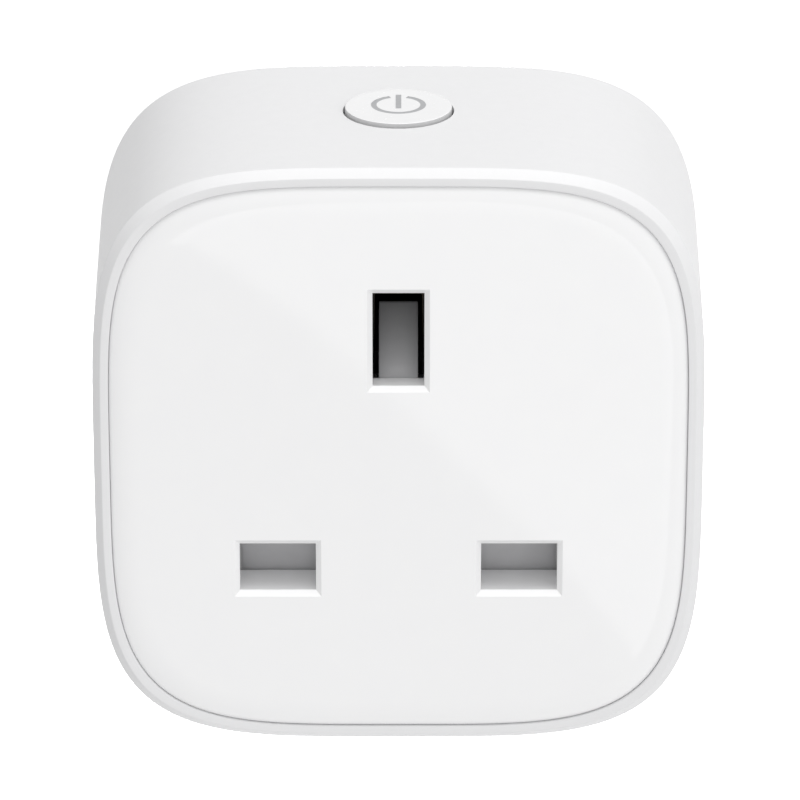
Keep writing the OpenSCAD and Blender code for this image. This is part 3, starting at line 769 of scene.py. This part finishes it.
def cover_screw_heads():
    """Pan heads with one straight driver slot each, and their shanks."""
    lo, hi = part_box("cover_screws")
    top, under = hi.y, hi.y - HEAD_T
    round_h = 0.75 * MM
    slot_w, slot_t, slot_d = 1.35 * MM, 0.24 * MM, 0.7 * MM
    whole = bmesh.new()
    for index, (x, z) in enumerate(screw_places()):
        profile = [(SHANK_R, lo.y), (SHANK_R, under), (HEAD_R, under), (HEAD_R, top - round_h)]
        for i in range(1, 8):
            a = math.radians(90 * i / 7)
            profile.append((HEAD_R * (0.55 + 0.45 * math.cos(a)), top - round_h + round_h * math.sin(a)))
        holder = new_object("screw_part", lathe(profile, count=64), None)
        driven_to = math.radians(17 + 23 * index)
        slot = bmesh.new()
        box_mesh(slot, (-slot_w, -slot_t, top - slot_d), (slot_w, slot_t, top + 1 * MM))
        slot.transform(Matrix.Rotation(driven_to, 4, "Z"))
        boolean(holder, slot)
        holder.data.transform(Matrix.Translation((x, 0, z)) @ Matrix.Rotation(math.radians(-90), 4, "X"))
        whole.from_mesh(holder.data)
        bpy.data.objects.remove(holder)
    piece = new_object("cover_screw_heads", whole, "plug_body")
    paint(piece, SCREW_STEEL)
    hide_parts("cover_screws")


# ---------------------------------------------------------------- plug pins
def plug_pin(name, node, size, sleeve_node=None):
    """Rectangular pin with rounded edges and a tapered tip, narrower under an insulating sleeve."""
    lo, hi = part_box(node)
    place = ((lo.x + hi.x) / 2, (lo.z + hi.z) / 2)
    width, height = size
    tip, taper = 1.5 * MM, 0.9 * MM
    inner = SLEEVE_WALL if sleeve_node else 0
    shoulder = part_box(sleeve_node)[1].y if sleeve_node else 0
    flange = (-5.6 * MM, -4.1 * MM)
    tail_w, tail_h = (1.0 * MM, 1.5 * MM) if node == "earth_pin" else (1.5 * MM, 1.0 * MM)
    half_w, half_h = width / 2, height / 2
    spread_by = 1 * MM
    stations = [
        (lo.y, tail_w, tail_h),
        (flange[0], tail_w, tail_h),
        (flange[0], half_w + spread_by, half_h + spread_by),
        (flange[1], half_w + spread_by, half_h + spread_by),
        (flange[1], half_w - inner, half_h - inner),
    ]
    if sleeve_node:
        stations += [(shoulder, half_w - inner, half_h - inner), (shoulder, half_w, half_h)]
    stations += [(hi.y - tip, half_w, half_h), (hi.y, half_w - taper, half_h - taper)]
    signs = ((-1, -1), (1, -1), (1, 1), (-1, 1))
    rings = []
    for y, w, h in stations:
        rings.append([(place[0] + sx * w, y, place[1] + sz * h) for sx, sz in signs])
    piece = new_object(name, loft(rings, cap_first=True, cap_last=True), "plug_body")
    bevel(piece, 0.18 * MM, segments=3, angle=math.radians(20))
    paint(piece, BRASS_PIN)
    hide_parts(node)


def insulating_sleeve(name, node):
    """Thin-walled sleeve moulded on a pin."""
    lo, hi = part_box(node)
    rings = []
    for inset, ends in ((0, (lo.y, hi.y)), (SLEEVE_WALL, (hi.y, lo.y))):
        for y in ends:
            a, b = (lo.x + inset, hi.x - inset), (lo.z + inset, hi.z - inset)
            rings.append([(a[0], y, b[0]), (a[1], y, b[0]), (a[1], y, b[1]), (a[0], y, b[1])])
    piece = new_object(name, loft(rings, closed=True), "plug_body")
    bevel(piece, 0.12 * MM, segments=3)
    paint(piece, SLEEVE_BLACK)
    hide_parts(node)


# ---------------------------------------------------------------- shutter and its springs
def shutter_moulding():
    """Ramp, spine and blanking plates as one moulding with rounded edges."""
    ramp_half = 1.8 * MM
    y = [LIP_Y + d for d in (2.5 * MM, *BLANK_D, 8.0 * MM, 8.4 * MM)]
    foot, knee, top = 6.4 * MM, 5.4 * MM, 11.9 * MM
    outline_yz = [
        (y[0], foot),
        (y[3], top),
        (y[4], top),
        (y[4], top - 3 * MM),
        (y[2], knee),
        (y[2], knee - 1 * MM),
        (y[0], knee - 1 * MM),
    ]
    rings = [[(x, a, b) for a, b in outline_yz] for x in (-ramp_half, ramp_half)]
    bm = loft(rings, cap_first=True, cap_last=True)
    piece = new_object("shutter_moulding", bm, "shutter_slide")
    spine = bmesh.new()
    box_mesh(spine, (-4 * MM, y[1], SHUTTER_LO.z + 1 * MM), (4 * MM, y[2], knee))
    boolean(piece, spine, "UNION")
    arms = bmesh.new()
    box_mesh(arms, (SHUTTER_LO.x, y[1], SHUTTER_LO.z), (SHUTTER_HI.x, y[2], SHUTTER_LO.z + 5.4 * MM))
    boolean(piece, arms, "UNION")
    bevel(piece, 0.12 * MM, segments=2)
    paint(piece, SHUTTER_GREY)
    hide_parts("shutter")


def return_springs():
    """Two compression springs with closed ends."""
    lo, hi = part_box("shutter_springs")
    wire, mean_r = 0.2 * MM, 1.0 * MM
    turns, steps, sides = 8.5, 26, 10
    total = int(turns * steps)
    rise = hi.z - lo.z - 2 * wire
    whole = bmesh.new()
    for x in (lo.x + mean_r + wire, hi.x - mean_r - wire):
        rings = []
        for i in range(total + 1):
            turn = i / steps
            free = min(max((turn - 1) / (turns - 2), 0), 1)
            closed_turns = min(turn, 1) + max(turn - turns + 1, 0)
            pitch_up = wire * closed_turns + (rise - 2 * wire) * free
            a = 2 * math.pi * turn
            out = Vector((math.cos(a), math.sin(a), 0))
            middle = Vector((x, (lo.y + hi.y) / 2, lo.z + wire + pitch_up)) + out * mean_r
            ring = []
            for j in range(sides):
                b = 2 * math.pi * j / sides
                ring.append(middle + out * wire * math.cos(b) + Vector((0, 0, 1)) * wire * math.sin(b))
            rings.append(ring)
        part = loft(rings, cap_first=True, cap_last=True)
        mesh = bpy.data.meshes.new("one_spring")
        part.to_mesh(mesh)
        part.free()
        whole.from_mesh(mesh)
        bpy.data.meshes.remove(mesh)
    piece = new_object("return_springs", whole, "plug_body")
    paint(piece, SPRING_STEEL)
    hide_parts("shutter_springs")
    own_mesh(piece)


# ---------------------------------------------------------------- studio
CAMERA_ELEVATION = math.radians(21.09)
CAMERA_DISTANCE = 0.443
CAMERA_LENS = 218.4
AIM_SHIFT = Vector((0.14 * MM, 0, 5.26 * MM))
SURROUND_EVEN = 0.68
SURROUND_LEAN = (0.24, -0.25, 0)
TOP_PLACE, TOP_SIZE, TOP_POWER = (0.05, -0.05, 0.8), (0.7, 0.6), 3.4
BACK_PLACE, BACK_SIZE, BACK_POWER = (0, 0.90, -0.10), (0.12, 0.30), 2.5
CARD_PLACE, CARD_SIZE, CARD_POWER = (0.06, -0.43, -0.09), (0.30, 0.16), 0.12
CARD_TURN = math.radians(-45)
FLOOR_Z = -0.30
FLOOR_HALF = 8
FLOOR_GLOW = 0.45


def camera():
    """Long lens at the reference view: straight on, from about 21 degrees above."""
    target = Vector((0, LIP_Y, 0))
    back = Vector((0, -math.cos(CAMERA_ELEVATION), math.sin(CAMERA_ELEVATION)))
    aim = target + AIM_SHIFT
    data = bpy.data.cameras.new("camera")
    data.lens = CAMERA_LENS
    data.sensor_width = 36
    data.clip_start = 0.01
    data.clip_end = 50
    made = bpy.data.objects.new("camera", data)
    bpy.context.scene.collection.objects.link(made)
    made.location = target + back * CAMERA_DISTANCE
    made.rotation_mode = "QUATERNION"
    made.rotation_quaternion = (aim - made.location).to_track_quat("-Z", "Y")
    bpy.context.scene.camera = made


def area_light(name, place, toward, size, power):
    """Soft rectangular light facing a point."""
    data = bpy.data.lights.new(name, "AREA")
    data.shape = "RECTANGLE"
    data.size, data.size_y = size
    data.energy = power
    made = bpy.data.objects.new(name, data)
    bpy.context.scene.collection.objects.link(made)
    made.location = place
    made.visible_camera = False
    made.rotation_mode = "QUATERNION"
    made.rotation_quaternion = (Vector(toward) - Vector(place)).to_track_quat("-Z", "Y")
    return made


def surround():
    """Pale surround, brighter towards the right and the front."""
    world = bpy.data.worlds.new("surround")
    world.use_nodes = True
    tree = world.node_tree
    place = tree.nodes.new("ShaderNodeTexCoord")
    lean = tree.nodes.new("ShaderNodeVectorMath")
    lean.operation = "DOT_PRODUCT"
    lean.inputs[1].default_value = SURROUND_LEAN
    tree.links.new(place.outputs["Generated"], lean.inputs[0])
    total = tree.nodes.new("ShaderNodeMath")
    total.operation = "ADD"
    total.inputs[1].default_value = SURROUND_EVEN
    tree.links.new(lean.outputs["Value"], total.inputs[0])
    background = tree.nodes["Background"]
    background.inputs["Color"].default_value = (1, 1, 1, 1)
    tree.links.new(total.outputs["Value"], background.inputs["Strength"])
    bpy.context.scene.world = world


def white_floor():
    """Plain white floor well below the part, which lights it only through its reflections."""
    bm = bmesh.new()
    bmesh.ops.create_grid(bm, x_segments=8, y_segments=8, size=FLOOR_HALF)
    floor = new_object("floor", bm, None)
    floor.location = (0, 0, FLOOR_Z)
    pale = material("floor_white", (0.95, 0.95, 0.95), 0.9, Emission_Strength=FLOOR_GLOW)
    pale.node_tree.nodes["Principled BSDF"].inputs["Emission Color"].default_value = (1, 1, 1, 1)
    vary_roughness(pale, 40, 0.85, 0.95, detail=2)
    paint(floor, pale)
    floor.visible_diffuse = False


def studio():
    """Soft lights over and behind the part, and a card that shows in the gloss."""
    surround()
    white_floor()
    middle = (0, -0.02, 0)
    area_light("top_light", TOP_PLACE, middle, TOP_SIZE, TOP_POWER)
    area_light("back_light", BACK_PLACE, middle, BACK_SIZE, BACK_POWER)
    straight_back = (CARD_PLACE[0], 0, CARD_PLACE[2])
    card = area_light("card", CARD_PLACE, straight_back, CARD_SIZE, CARD_POWER)
    turn = Matrix.Rotation(CARD_TURN, 3, "Z").to_quaternion()
    card.rotation_quaternion = card.rotation_quaternion @ turn
    scene = bpy.context.scene
    scene.view_settings.view_transform = "Standard"
    scene.view_settings.look = "None"


# ---------------------------------------------------------------- build
camera()
studio()
paint_cad_nodes()
housing_shell()
face_plate_gloss()
rear_shell()
cover_screw_heads()
button_cap()
button_symbol()
plug_pin("line_pin_blade", "line_pin", LIVE_PIN, "line_pin_sleeve")
plug_pin("neutral_pin_blade", "neutral_pin", LIVE_PIN, "neutral_pin_sleeve")
plug_pin("earth_pin_blade", "earth_pin", EARTH_PIN)
insulating_sleeve("line_sleeve_moulding", "line_pin_sleeve")
insulating_sleeve("neutral_sleeve_moulding", "neutral_pin_sleeve")
shutter_moulding()
return_springs()
